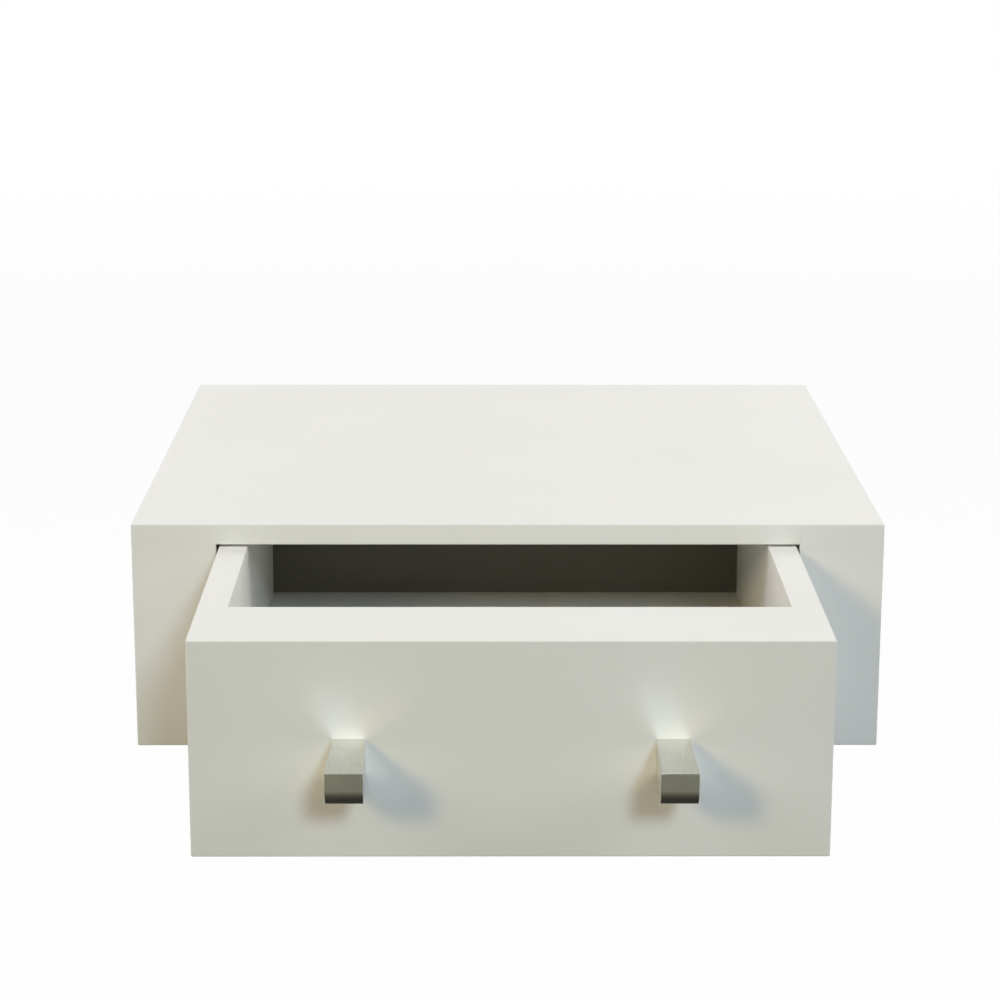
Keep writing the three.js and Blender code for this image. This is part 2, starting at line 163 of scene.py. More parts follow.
lacquer = new_finish("white_satin_lacquer")
lacquer_clouds = noise(lacquer, CLOUDS_PER_METRE)
lacquer_peel = noise(lacquer, PEEL_PER_METRE, detail=1.0)
lacquer_dust = noise(lacquer, DUST_PER_METRE, detail=2.0)
colour_by(lacquer, lacquer_clouds, LACQUER_SHADE, LACQUER_WHITE)
roughness_by(lacquer, lacquer_peel, *LACQUER_ROUGHNESS)
relief(lacquer, [(lacquer_peel, PEEL_DEPTH), (lacquer_dust, DUST_DEPTH)])


def touching(one, other):
    """Whether two boxes meet, give or take a hair."""
    return all(one[0][i] - PROBE < other[1][i] and other[0][i] - PROBE < one[1][i] for i in range(3))


def holds(box, point):
    """Whether a point lies in a box."""
    return all(box[0][i] - WELD < point[i] < box[1][i] + WELD for i in range(3))


def merged(node):
    """A copy of a CAD node's loose triangles as flat faces that share their corners."""
    shape = bmesh.new()
    shape.from_mesh(frame["nodes"][node].data)
    bmesh.ops.remove_doubles(shape, verts=shape.verts, dist=WELD)
    bmesh.ops.dissolve_limit(shape, angle_limit=FLAT_WITHIN, verts=shape.verts, edges=shape.edges)
    return shape


def split_at_ends_of(shape, own, neighbours, reach):
    """Cuts a board's faces where a neighbour ends, so that each edge is either free or joined, and once
    more on both sides of that, so that a rounding runs out within its own width."""
    corner = CLEAR_OF_CORNER * reach
    for axis in range(3):
        normal = Vector([1.0 if i == axis else 0.0 for i in range(3)])
        ends = {round(end[axis], WELD_DIGITS) for box in neighbours for end in box}
        inside = [end for end in ends if own[0][axis] + corner < end < own[1][axis] - corner]
        for cut in sorted(end + beside for end in inside for beside in (-reach, 0, reach)):
            whole = shape.verts[:] + shape.edges[:] + shape.faces[:]
            bmesh.ops.bisect_plane(shape, geom=whole, plane_co=normal * cut, plane_no=normal, dist=WELD)


def free_edges(shape, own, neighbours):
    """The outer edges of a board that no neighbour continues flush."""
    free = []
    for edge in shape.edges:
        middle = (edge.verts[0].co + edge.verts[1].co) / 2
        outer_planes = sum(min(abs(middle[i] - end[i]) for end in own) < IN_PLANE for i in range(3))
        if outer_planes < 2 or len(edge.link_faces) != 2:
            continue
        one, other = [face.normal for face in edge.link_faces]
        if one.angle(other) < CORNER_FROM:
            continue
        probes = [middle + PROBE * (one - other), middle + PROBE * (other - one)]
        if not any(holds(box, probe) for probe in probes for box in neighbours):
            free.append(edge)
    return free


def ease(shape, edges, reach, steps):
    """Rounds edges over."""
    bmesh.ops.bevel(shape, geom=edges, offset=reach, offset_type="OFFSET", segments=steps,
                    profile=0.5, affect="EDGES", material=-1, clamp_overlap=True)


def finished(name, shape, finish, node):
    """Makes a piece of a bmesh. It rides where its CAD node rides, and stands for it."""
    for edge in shape.edges:
        edge.smooth = edge.calc_face_angle(0) < SHARP_FROM
    mesh = bpy.data.meshes.new(name)
    shape.to_mesh(mesh)
    shape.free()
    mesh.polygons.foreach_set("use_smooth", [True] * len(mesh.polygons))
    mesh.materials.append(finish)
    piece = bpy.data.objects.new(name, mesh)
    bpy.context.scene.collection.objects.link(piece)
    shading = piece.modifiers.new("even_shading", "WEIGHTED_NORMAL")
    shading.weight = LARGE_FACES_FIRST
    shading.keep_sharp = True
    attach(piece, frame["nodes"][node]["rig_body"])
    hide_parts(node)
    return piece


def eased_board(node, ending, finish, joined_to, reach=EASED_EDGE):
    """A board whose free edges are rounded over."""
    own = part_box(node)
    boxes = [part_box(other) for other in joined_to if other != node]
    neighbours = [box for box in boxes if touching(own, box)]
    shape = merged(node)
    split_at_ends_of(shape, own, neighbours, reach)
    ease(shape, free_edges(shape, own, neighbours), reach, EASING_STEPS)
    finished(f"{node}_{ending}", shape, finish, node)


case_boards = CASE_BOARDS + [f"{side}_{board}" for side in SIDES for board in CHEEK_BOARDS]
for board in case_boards:
    eased_board(board, "lacquered", lacquer, case_boards)


# Rear posts of the hollow cheeks
# Offcuts of bare fibreboard between the two panels of each cheek, glued in. They take the outer screws
# of the hanging rail and show only from behind.
RAW_DARK = (176, 147, 112)
RAW_LIGHT = (193, 166, 131)
RAW_FIBRES_PER_METRE = 420
RAW_FIBRE_DRAW = (1, 1, 0.7)
RAW_SPECKS_PER_METRE = 1400
RAW_DEPTH = 0.00006
RAW_ROUGHNESS = (0.78, 0.92)
RAW_EDGE = 0.0003

raw_board = new_finish("bare_fibreboard")
raw_fibres = noise(raw_board, RAW_FIBRES_PER_METRE, along=RAW_FIBRE_DRAW, detail=6.0)
raw_specks = noise(raw_board, RAW_SPECKS_PER_METRE, detail=2.0)
colour_by(raw_board, raw_fibres, RAW_DARK, RAW_LIGHT)
roughness_by(raw_board, raw_specks, *RAW_ROUGHNESS)
relief(raw_board, [(raw_fibres, RAW_DEPTH), (raw_specks, RAW_DEPTH / 2)])

for side in SIDES:
    post = f"{side}_rear_post"
    eased_board(post, "bare", raw_board, case_boards, reach=RAW_EDGE)


# Hanging rails
# Two Z-shaped aluminium extrusions, 2 mm thick. One is screwed to the wall and one to the case's back,
# and the case's hook drops over the wall rail's lip. The die leaves fine lines along the bar.
RAILS = ["wall_rail", "case_rail"]
RAIL_EDGE = 0.00025
ALUMINIUM_DARK = (172, 174, 177)
ALUMINIUM_LIGHT = (196, 198, 200)
DIE_LINES_PER_METRE = 1600
DIE_LINE_DEPTH = 0.00001
DIE_LINE_DRAW = (0.004, 1, 1)
STAINS_PER_METRE = 25
ALUMINIUM_ROUGHNESS = (0.32, 0.5)
BEND_STEPS = 2
LENGTHWISE_SHARE = 0.9
ACROSS = 0
OUT = 1

aluminium = new_finish("mill_aluminium", metallic=1.0)
die_lines = noise(aluminium, DIE_LINES_PER_METRE, along=DIE_LINE_DRAW, detail=4.0)
aluminium_stains = noise(aluminium, STAINS_PER_METRE, detail=4.0)
colour_by(aluminium, aluminium_stains, ALUMINIUM_DARK, ALUMINIUM_LIGHT)
roughness_by(aluminium, die_lines, *ALUMINIUM_ROUGHNESS)
relief(aluminium, [(die_lines, DIE_LINE_DEPTH)])


def profile_edges(shape, axis):
    """The edges of a drawn bar that run along it."""
    long_edges = []
    for edge in shape.edges:
        run = edge.verts[1].co - edge.verts[0].co
        lengthwise = abs(run[axis]) > LENGTHWISE_SHARE * run.length
        if lengthwise and len(edge.link_faces) == 2 and edge.calc_face_angle(0) > CORNER_FROM:
            long_edges.append(edge)
    return long_edges


for rail in RAILS:
    bar = merged(rail)
    ease(bar, profile_edges(bar, ACROSS), RAIL_EDGE, BEND_STEPS)
    finished(f"{rail}_extruded", bar, aluminium, rail)


# Screws of the case's rail
# Zinc-plated pan-head screws with a cross recess, turned through the rail into the posts and the back
# panel. The head is domed, and a rolled thread runs down the core to the point.
RAIL_SCREWS = 4
TURN_STEPS = 32
WOOD_SCREW = {"shank": 0.00175, "length": 0.011, "head": 0.004, "head_height": 0.002, "pitch": 0.0014}
SCREW_TIP = 0.0004
SCREW_TAPER = 0.0015
TIP_SHARE = 0.25
CORE_SHARE = 0.8
NECK_PITCHES = 0.4
THREAD_DEPTH = 0.12
THREAD_RIDGE = [(-1, -1), (1, -1.25), (-1, -1.5)]
UNTHREADED_PITCHES = 2.5
THREAD_STEPS = 16
PAN_HEAD = [(0.97, 0), (1, 0.08), (1, 0.38), (0.93, 0.62), (0.78, 0.82), (0.5, 0.95), (0, 1)]
RECESS_SPAN = 1.1
RECESS_BLADE = 0.24
RECESS_FOOT = 0.55
RECESS_DEPTH = 0.65
ZINC_DARK = (170, 174, 180)
ZINC_LIGHT = (196, 200, 205)
ZINC_SPANGLES_PER_METRE = 180
ZINC_GRAIN_PER_METRE = 2600
ZINC_GRAIN_DEPTH = 0.000006
ZINC_ROUGHNESS = (0.28, 0.42)

zinc = new_finish("zinc_plated_steel", metallic=1.0)
zinc_spangles = noise(zinc, ZINC_SPANGLES_PER_METRE, detail=3.0)
zinc_grain = noise(zinc, ZINC_GRAIN_PER_METRE, detail=2.0)
colour_by(zinc, zinc_spangles, ZINC_DARK, ZINC_LIGHT)
roughness_by(zinc, zinc_grain, *ZINC_ROUGHNESS)
relief(zinc, [(zinc_grain, ZINC_GRAIN_DEPTH)])


def spun(outline):
    """Turns an outline of (radius, height) points round the Z axis into a closed solid."""
    shape = bmesh.new()
    points = [shape.verts.new((radius, 0, height)) for radius, height in outline]
    edges = [shape.edges.new(pair) for pair in zip(points, points[1:])]
    bmesh.ops.spin(shape, geom=points + edges, cent=(0, 0, 0), axis=(0, 0, 1), dvec=(0, 0, 0),
                   angle=2 * math.pi, steps=TURN_STEPS, use_merge=True, use_duplicate=False)
    bmesh.ops.remove_doubles(shape, verts=shape.verts, dist=WELD)
    bmesh.ops.recalc_face_normals(shape, faces=shape.faces)
    return shape


def sized(profile, radius, height):
    """An outline whose points are written as shares of a radius and a height."""
    return [(radius * across, height * up) for across, up in profile]


def stand(shape, foot, towards):
    """Takes a shape that was made upright at the origin to its place."""
    turn = Vector((0, 0, 1)).rotation_difference(Vector(towards)).to_matrix().to_4x4()
    bmesh.ops.transform(shape, matrix=Matrix.Translation(foot) @ turn, verts=shape.verts)


def cut_by(shape, cutter):
    """Takes one closed bmesh out of another and returns what is left."""
    parts = []
    for solid in (shape, cutter):
        mesh = bpy.data.meshes.new("working")
        solid.to_mesh(mesh)
        solid.free()
        part = bpy.data.objects.new("working", mesh)
        bpy.context.scene.collection.objects.link(part)
        parts.append(part)
    cutting = parts[0].modifiers.new("cut", "BOOLEAN")
    cutting.operation = "DIFFERENCE"
    cutting.solver = "EXACT"
    cutting.object = parts[1]
    ready = parts[0].evaluated_get(bpy.context.evaluated_depsgraph_get())
    left = bmesh.new()
    left.from_mesh(ready.to_mesh())
    ready.to_mesh_clear()
    for part in parts:
        bpy.data.meshes.remove(part.data)
    return left


def cross_recess(head, depth):
    """Two crossed tapered blades, the tool that leaves a cross in a screw's head."""
    shape = bmesh.new()
    for wide, deep in ((RECESS_SPAN, RECESS_BLADE), (RECESS_BLADE, RECESS_SPAN)):
        blade = bmesh.ops.create_cube(shape, size=1)["verts"]
        bmesh.ops.scale(shape, verts=blade, vec=(head * wide, head * deep, 2 * depth))
        foot = [v for v in blade if v.co.z < 0]
        bmesh.ops.scale(shape, verts=foot, vec=(RECESS_FOOT, RECESS_FOOT, 1))
    return shape


def add_thread(shape, core, length, pitch):
    """A rolled thread, a small triangle that is spun and advanced down the screw's core."""
    turns = int(length / pitch - UNTHREADED_PITCHES)
    corners = sized(THREAD_RIDGE, THREAD_DEPTH * core, pitch)
    ridge = shape.faces.new([shape.verts.new((core + out, 0, up)) for out, up in corners])
    steps = THREAD_STEPS * turns
    bmesh.ops.spin(shape, geom=[ridge], cent=(0, 0, 0), axis=(0, 0, 1),
                   dvec=(0, 0, -pitch * turns / steps), angle=2 * math.pi * turns, steps=steps,
                   use_merge=False, use_duplicate=True)


def pan_head_screw(shank, length, head, head_height, pitch):
    """Points down, with the seat of its head at z = 0."""
    core = shank * CORE_SHARE
    shape = spun([
        (0, -length),
        (shank * TIP_SHARE, -length + SCREW_TIP),
        (core, -length + SCREW_TAPER),
        (core, -pitch),
        (shank, -pitch * NECK_PITCHES),
        (shank, 0),
        *sized(PAN_HEAD, head, head_height),
    ])
    tool = cross_recess(head, head_height * RECESS_DEPTH)
    bmesh.ops.translate(tool, verts=tool.verts, vec=(0, 0, head_height))
    screw = cut_by(shape, tool)
    add_thread(screw, core, length, pitch)
    return screw


def placed_screw(node, ending, sizes, head_towards):
    """A screw in the place of its CAD node, with its head turned the way that it is driven from."""
    low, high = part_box(node)
    seat = (low + high) / 2
    axis = max(range(3), key=lambda i: abs(head_towards[i]))
    outside = high[axis] if head_towards[axis] > 0 else low[axis]
    seat[axis] = outside - head_towards[axis] * sizes["head_height"]
    screw = pan_head_screw(**sizes)
    stand(screw, seat, head_towards)
    finished(f"{node}_{ending}", screw, zinc, node)


for count in range(RAIL_SCREWS):
    placed_screw(f"case_rail_screw_{count + 1}", "zinc", WOOD_SCREW, (0, 1, 0))


# Stop buffers
# Two self-adhesive domes of soft pale rubber on the back panel, which the drawer's back stops
# against. They are moulded, with a flat foot and a round shoulder.
BUFFER_DARK = (188, 189, 184)
BUFFER_LIGHT = (204, 205, 200)
BUFFER_CLOUDS_PER_METRE = 300
BUFFER_GRAIN_PER_METRE = 1800
BUFFER_GRAIN_DEPTH = 0.00001
BUFFER_ROUGHNESS = (0.52, 0.7)
BUFFER_DOME = [(0, 0), (0.98, 0), (1, 0.06), (0.99, 0.3), (0.95, 0.55), (0.86, 0.78), (0.7, 0.93),
               (0.45, 1), (0, 1)]

rubber = new_finish("pale_soft_rubber")
rubber_grain = noise(rubber, BUFFER_GRAIN_PER_METRE, detail=2.0)
colour_by(rubber, noise(rubber, BUFFER_CLOUDS_PER_METRE), BUFFER_DARK, BUFFER_LIGHT)
roughness_by(rubber, rubber_grain, *BUFFER_ROUGHNESS)
relief(rubber, [(rubber_grain, BUFFER_GRAIN_DEPTH)])

for side in SIDES:
    low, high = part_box(f"{side}_stop_buffer")
    dome = spun(sized(BUFFER_DOME, (high.x - low.x) / 2, high.y - low.y))
    stand(dome, Vector(((low.x + high.x) / 2, high.y, (low.z + high.z) / 2)), (0, -1, 0))
    finished(f"{side}_stop_buffer_moulded", dome, rubber, f"{side}_stop_buffer")


# Drawer runners
# Three-member ball runners of zinc-plated strip steel: a channel screwed to the case's bottom, a double
# headed rail that travels half way, and a channel upside down under the drawer's floor.
CHANNEL_BEND = 0.0004
RAIL_BEND = 0.0005
ROLLING_LINES_PER_METRE = 1500
ROLLING_LINE_DRAW = (1, 0.006, 1)
ROLLING_LINE_DEPTH = 0.000008
ROLLED_SPANGLES_PER_METRE = 90
ROLLED_ROUGHNESS = (0.26, 0.44)
PLATE_SCREW = {"shank": 0.0015, "length": 0.008, "head": 0.0035, "head_height": 0.00175, "pitch": 0.0012}

runner_steel = new_finish("rolled_zinc_steel", metallic=1.0)
rolling_lines = noise(runner_steel, ROLLING_LINES_PER_METRE, along=ROLLING_LINE_DRAW)
runner_spangles = noise(runner_steel, ROLLED_SPANGLES_PER_METRE, detail=4.0)
colour_by(runner_steel, runner_spangles, ZINC_DARK, ZINC_LIGHT)
roughness_by(runner_steel, rolling_lines, *ROLLED_ROUGHNESS)
relief(runner_steel, [(rolling_lines, ROLLING_LINE_DEPTH)])

for side in SIDES:
    for member, bend in (("lower_channel", CHANNEL_BEND), ("middle_rail", RAIL_BEND),
                         ("upper_channel", CHANNEL_BEND)):
        strip = merged(f"{side}_{member}")
        ease(strip, profile_edges(strip, OUT), bend, BEND_STEPS)
        finished(f"{side}_{member}_rolled", strip, runner_steel, f"{side}_{member}")
    for place in ("rear", "front"):
        placed_screw(f"{side}_lower_channel_screw_{place}", "zinc", PLATE_SCREW, (0, 0, 1))
        placed_screw(f"{side}_upper_channel_screw_{place}", "zinc", PLATE_SCREW, (0, 0, -1))


# Ball cages
# A folded strip that keeps two rows of four balls apart between a channel and the rail's head. The
# balls are hardened, ground and polished steel.
BALL_RADIUS = 0.0034
BALLS_IN_ROW = 4
BALL_PITCH = 0.044
BALL_ACROSS = 0.01075
CAGE_SHEET = 0.0008
CAGE_WALL = 0.008
BALL_FROM_BACK = 0.005
CAGE_CORNER = 0.0003
BALL_MERIDIANS = 20
BALL_RINGS = 12
BALLS_FINISH = 1
BALL_DARK = (188, 191, 195)
BALL_LIGHT = (206, 208, 211)
BALL_CLOUDS_PER_METRE = 900
BALL_POLISH_PER_METRE = 2400
BALL_ROUGHNESS = (0.08, 0.16)

ball_steel = new_finish("polished_ball_steel", metallic=1.0)
colour_by(ball_steel, noise(ball_steel, BALL_CLOUDS_PER_METRE), BALL_DARK, BALL_LIGHT)
roughness_by(ball_steel, noise(ball_steel, BALL_POLISH_PER_METRE), *BALL_ROUGHNESS)

for side in SIDES:
    for height_name, opens in (("lower", 1), ("upper", -1)):
        node = f"{side}_{height_name}_ball_cage"
        low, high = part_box(node)
        centre = (low + high) / 2
        back_z = low.z if opens > 0 else high.z
        cage = bmesh.new()
        walls = (
            (0, 2 * BALL_ACROSS + CAGE_SHEET, CAGE_SHEET),
            (-BALL_ACROSS, CAGE_SHEET, CAGE_WALL),
            (BALL_ACROSS, CAGE_SHEET, CAGE_WALL),
        )
        for across, wide, tall in walls:
            wall = bmesh.ops.create_cube(cage, size=1)["verts"]
            bmesh.ops.scale(cage, verts=wall, vec=(wide, high.y - low.y, tall))
            place = (centre.x + across, centre.y, back_z + opens * tall / 2)
            bmesh.ops.translate(cage, verts=wall, vec=place)
        ease(cage, cage.edges[:], CAGE_CORNER, BEND_STEPS)
        strip_faces = len(cage.faces)
        for count in range(BALLS_IN_ROW):
            along = (count - (BALLS_IN_ROW - 1) / 2) * BALL_PITCH
            for across in (-BALL_ACROSS, BALL_ACROSS):
                place = Vector((centre.x + across, centre.y + along, back_z + opens * BALL_FROM_BACK))
                bmesh.ops.create_uvsphere(cage, u_segments=BALL_MERIDIANS, v_segments=BALL_RINGS,
                                          radius=BALL_RADIUS, matrix=Matrix.Translation(place))
        for face in list(cage.faces)[strip_faces:]:
            face.material_index = BALLS_FINISH
        piece = finished(f"{node}_with_balls", cage, zinc, node)
        piece.data.materials.append(ball_steel)


# Drawer front and box
# The hollow front is two boards with caps and end blocks between them. The sides and the floor run back
# from it, all sprayed as the case is, and bare blocks inside the front back up the knobs.
FRONT_BOARDS = ["drawer_face_panel", "drawer_inner_front", "drawer_front_top_cap",
                "drawer_front_bottom_cap", "left_front_end_block", "right_front_end_block",
                "left_drawer_side", "right_drawer_side", "drawer_floor"]

drawer_boards = FRONT_BOARDS + ["drawer_back"]
for board in FRONT_BOARDS:
    eased_board(board, "lacquered", lacquer, drawer_boards)
for side in SIDES:
    eased_board(f"{side}_knob_block", "bare", raw_board, drawer_boards, reach=RAW_EDGE)


# Drawer back
# A thinner board, let in between the sides behind the floor. Its grey-brown colour is painted shade: it
# stands in for the deep shade at the back of the drawer under the case's top. A faint grain runs across
# it.
BACK_PAINTED_SHADE_DARK = (98, 93, 82)
BACK_PAINTED_SHADE_LIGHT = (105, 99, 87)
SHADE_GRAIN_PER_METRE = 40
SHADE_GRAIN_DRAW = (0.2, 1, 1)
PORES_PER_METRE = 1600
PORE_DRAW = (0.3, 1, 1)
PORE_DEPTH = 0.00001
BACK_ROUGHNESS = (0.52, 0.66)

painted_shade_board = new_finish("painted_shade_drawer_back")
shade_grain = noise(painted_shade_board, SHADE_GRAIN_PER_METRE, along=SHADE_GRAIN_DRAW, detail=5.0)
back_pores = noise(painted_shade_board, PORES_PER_METRE, along=PORE_DRAW, detail=2.0)
# The back's dark colour is painted shade, with a faint grain in it.
colour_by(painted_shade_board, shade_grain, BACK_PAINTED_SHADE_DARK, BACK_PAINTED_SHADE_LIGHT)
roughness_by(painted_shade_board, back_pores, *BACK_ROUGHNESS)
relief(painted_shade_board, [(back_pores, PORE_DEPTH)])

eased_board("drawer_back", "shade_painted", painted_shade_board, drawer_boards)


# Bar knobs
# Solid bars of satin nickel, a little wider at the front than at the drawer. The lower front edge is
# milled round, the others are broken, and the brushing runs along the bar.
KNOB_UNDER_RADIUS = 0.0105
KNOB_UNDER_STEPS = 14
KNOB_EDGE = 0.00015
KNOB_EDGE_STEPS = 3
KNOB_ARRIS_FROM = math.radians(45)
KNOB_AT_DRAWER = 0.020
KNOB_AT_FRONT = 0.022
NICKEL_DARK = (210, 210, 203)
NICKEL_LIGHT = (221, 221, 214)
BRUSHING_PER_METRE = 2600
BRUSHING_DRAW = (1, 0.02, 1)
BRUSHING_DEPTH = 0.000004
HANDLING_PER_METRE = 60
NICKEL_ROUGHNESS = (0.18, 0.28)

nickel = new_finish("satin_nickel", metallic=1.0)
brushing = noise(nickel, BRUSHING_PER_METRE, along=BRUSHING_DRAW, detail=4.0)
handling = noise(nickel, HANDLING_PER_METRE)
colour_by(nickel, handling, NICKEL_DARK, NICKEL_LIGHT)
roughness_by(nickel, brushing, *NICKEL_ROUGHNESS)
relief(nickel, [(brushing, BRUSHING_DEPTH)])

for side in SIDES:
    low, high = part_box(f"{side}_knob")
    bar = bmesh.new()
    bmesh.ops.create_cube(bar, size=1)
    bmesh.ops.scale(bar, verts=bar.verts, vec=(1, high.y - low.y, high.z - low.z))
    ends = ((KNOB_AT_FRONT, [v for v in bar.verts if v.co.y < 0]),
            (KNOB_AT_DRAWER, [v for v in bar.verts if v.co.y > 0]))
    for width, end in ends:
        bmesh.ops.scale(bar, verts=end, vec=(width, 1, 1))
    under_front = [e for e in bar.edges if all(v.co.y < 0 and v.co.z < 0 for v in e.verts)]
    ease(bar, under_front, KNOB_UNDER_RADIUS, KNOB_UNDER_STEPS)
    sharp = [e for e in bar.edges if e.calc_face_angle(0) > KNOB_ARRIS_FROM]
    ease(bar, sharp, KNOB_EDGE, KNOB_EDGE_STEPS)
    bmesh.ops.translate(bar, verts=bar.verts, vec=(low + high) / 2)
    finished(f"{side}_knob_brushed", bar, nickel, f"{side}_knob")


# Knob screws and their covers
# A long machine screw pulls each knob on from inside the hollow front, and a white moulded cap closes
# the screw's well on the drawer's inside.
KNOB_SCREW = {"shank": 0.002, "length": 0.032, "head": 0.004, "head_height": 0.0025, "pitch": 0.0014}
CAP_PLUG_RADIUS = 0.00525
CAP_PLUG_LENGTH = 0.007
CAP_WHITE = (230, 229, 224)
CAP_SHADE = (224, 223, 217)
CAP_CLOUDS_PER_METRE = 200
CAP_GRAIN_PER_METRE = 2200
CAP_GRAIN_DEPTH = 0.000006
CAP_ROUGHNESS = (0.4, 0.52)
CAP_PLUG = [(0, -1), (0.9, -1), (1, -0.85), (1, 0)]
CAP_RIM = [(0.98, 0), (1, 0.15), (0.98, 0.5), (0.92, 0.82), (0.8, 1), (0, 1)]

cap_plastic = new_finish("white_moulded_plastic")
cap_grain = noise(cap_plastic, CAP_GRAIN_PER_METRE, detail=2.0)
colour_by(cap_plastic, noise(cap_plastic, CAP_CLOUDS_PER_METRE), CAP_SHADE, CAP_WHITE)
roughness_by(cap_plastic, cap_grain, *CAP_ROUGHNESS)
relief(cap_plastic, [(cap_grain, CAP_GRAIN_DEPTH)])

for side in SIDES:
    placed_screw(f"{side}_knob_screw", "zinc", KNOB_SCREW, (0, 1, 0))
    low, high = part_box(f"{side}_screw_cap")
    rim = high.y - low.y - CAP_PLUG_LENGTH
    plug = sized(CAP_PLUG, CAP_PLUG_RADIUS, CAP_PLUG_LENGTH)
    cap = spun(plug + sized(CAP_RIM, (high.x - low.x) / 2, rim))
    stand(cap, Vector(((low.x + high.x) / 2, high.y - rim, (low.z + high.z) / 2)), (0, 1, 0))
    finished(f"{side}_screw_cap_moulded", cap, cap_plastic, f"{side}_screw_cap")


# Floor
# A plain pale studio floor well below the table, which hangs in the air as on its wall. It is a stage
# piece. The camera, gloss and glass see it lifted towards white, with the table's shadow on it, and
# from below it is clear, so that the table's underside can be looked at.
FLOOR_Z = -0.6
FLOOR_SIZE = 60
FLOOR_COLOUR = (153, 152, 146)
FLOOR_SEEN = (252, 252, 251)
FLOOR_LIFT = 0.93
LIFT_STARTS = 0.8
LIFT_ENDS = 7.0


def laid_flat(name, low, high, height, paint):
    """A stage piece, one flat face between two corners."""
    shape = bmesh.new()
    bmesh.ops.create_grid(shape, x_segments=1, y_segments=1, size=0.5)
    low = Vector((*low, height))
    high = Vector((*high, height))
    bmesh.ops.scale(shape, verts=shape.verts, vec=high - low)
    bmesh.ops.translate(shape, verts=shape.verts, vec=(low + high) / 2)
    mesh = bpy.data.meshes.new(name)
    shape.to_mesh(mesh)
    shape.free()
    mesh.materials.append(paint)
    flat = bpy.data.objects.new(name, mesh)
    bpy.context.scene.collection.objects.link(flat)
    return flat


def for_camera_gloss_or_glass(tree):
    """1 for the rays that show the background, and 0 for the light that falls on the object."""
    ray = tree.nodes.new("ShaderNodeLightPath")
    seen = ray.outputs["Is Camera Ray"]
    for kind in ("Is Glossy Ray", "Is Transmission Ray"):
        either = tree.nodes.new("ShaderNodeMath")
        either.operation = "MAXIMUM"
        tree.links.new(seen, either.inputs[0])
        tree.links.new(ray.outputs[kind], either.inputs[1])
        seen = either.outputs["Value"]
    return seen


floor_paint = bpy.data.materials.new("studio_floor_paint")
floor_paint.use_nodes = True
tree = floor_paint.node_tree
tree.nodes.clear()
output = tree.nodes.new("ShaderNodeOutputMaterial")
by_ray = tree.nodes.new("ShaderNodeMixShader")
lifted = tree.nodes.new("ShaderNodeMixShader")
plain = tree.nodes.new("ShaderNodeBsdfDiffuse")
seen = tree.nodes.new("ShaderNodeBsdfDiffuse")
glow = tree.nodes.new("ShaderNodeEmission")
plain.inputs["Color"].default_value = linear(FLOOR_COLOUR)
seen.inputs["Color"].default_value = linear(FLOOR_SEEN)
glow.inputs["Strength"].default_value = 1.0
place = tree.nodes.new("ShaderNodeTexCoord")
reach = tree.nodes.new("ShaderNodeVectorMath")
reach.operation = "LENGTH"
lift = tree.nodes.new("ShaderNodeMapRange")
lift.interpolation_type = "SMOOTHSTEP"
lift.inputs["From Min"].default_value = LIFT_STARTS
lift.inputs["From Max"].default_value = LIFT_ENDS
lift.inputs["To Min"].default_value = FLOOR_LIFT
lift.inputs["To Max"].default_value = 1.0
tree.links.new(place.outputs["Object"], reach.inputs[0])
tree.links.new(reach.outputs["Value"], lift.inputs["Value"])
tree.links.new(lift.outputs["Result"], lifted.inputs["Fac"])
tree.links.new(seen.outputs["BSDF"], lifted.inputs[1])
tree.links.new(glow.outputs["Emission"], lifted.inputs[2])
tree.links.new(for_camera_gloss_or_glass(tree), by_ray.inputs["Fac"])
tree.links.new(plain.outputs["BSDF"], by_ray.inputs[1])
tree.links.new(lifted.outputs["Shader"], by_ray.inputs[2])
side_seen = tree.nodes.new("ShaderNodeNewGeometry")
clear = tree.nodes.new("ShaderNodeBsdfTransparent")
by_side = tree.nodes.new("ShaderNodeMixShader")
tree.links.new(side_seen.outputs["Backfacing"], by_side.inputs["Fac"])
tree.links.new(by_ray.outputs["Shader"], by_side.inputs[1])
tree.links.new(clear.outputs["BSDF"], by_side.inputs[2])
tree.links.new(by_side.outputs["Shader"], output.inputs["Surface"])

half = FLOOR_SIZE / 2
laid_flat("studio_floor", (-half, -half), (half, half), FLOOR_Z, floor_paint)


# Reflector card
# A matt card on the floor, as a photographer lays one under polished metal. It is a painted reflection:
# only reflections see it. It is black below the table as painted shade and fades to olive in front of
# it.
# It colours the ends of the knobs and darkens their rounded undersides.
CARD_LOW = (-3.0, -10.0)
CARD_HIGH = (3.0, 0.1)
CARD_ABOVE_FLOOR = 0.002
CARD_PAINTED_SHADE_BLACK = (27, 25, 16)
CARD_PAINTED_REFLECTION_OLIVE = (144, 143, 121)
OLIVE_UP_TO = -3.2
BLACK_FROM = -0.85
CARD_ROUGHNESS = 0.9

painted_reflection_paint = new_finish("painted_reflection_card_paint")
shader_of(painted_reflection_paint).inputs["Roughness"].default_value = CARD_ROUGHNESS
tree = painted_reflection_paint.node_tree
axes = tree.nodes.new("ShaderNodeSeparateXYZ")
shade_fade = tree.nodes.new("ShaderNodeMapRange")
shade_fade.inputs["From Min"].default_value = BLACK_FROM
shade_fade.inputs["From Max"].default_value = OLIVE_UP_TO
tree.links.new(tree.nodes["Texture Coordinate"].outputs["Object"], axes.inputs["Vector"])
tree.links.new(axes.outputs["Y"], shade_fade.inputs["Value"])
# Painted shade below the table, fading to a painted olive reflection in front of it.
colour_by(painted_reflection_paint, shade_fade.outputs["Result"], CARD_PAINTED_SHADE_BLACK, CARD_PAINTED_REFLECTION_OLIVE, start=0.0, end=1.0)

card = laid_flat("painted_reflection_card", CARD_LOW, CARD_HIGH, FLOOR_Z + CARD_ABOVE_FLOOR, painted_reflection_paint)
# Seen only in reflections, so its colours are painted reflection and painted shade.
card.visible_camera = False
card.visible_diffuse = False
card.visible_shadow = False


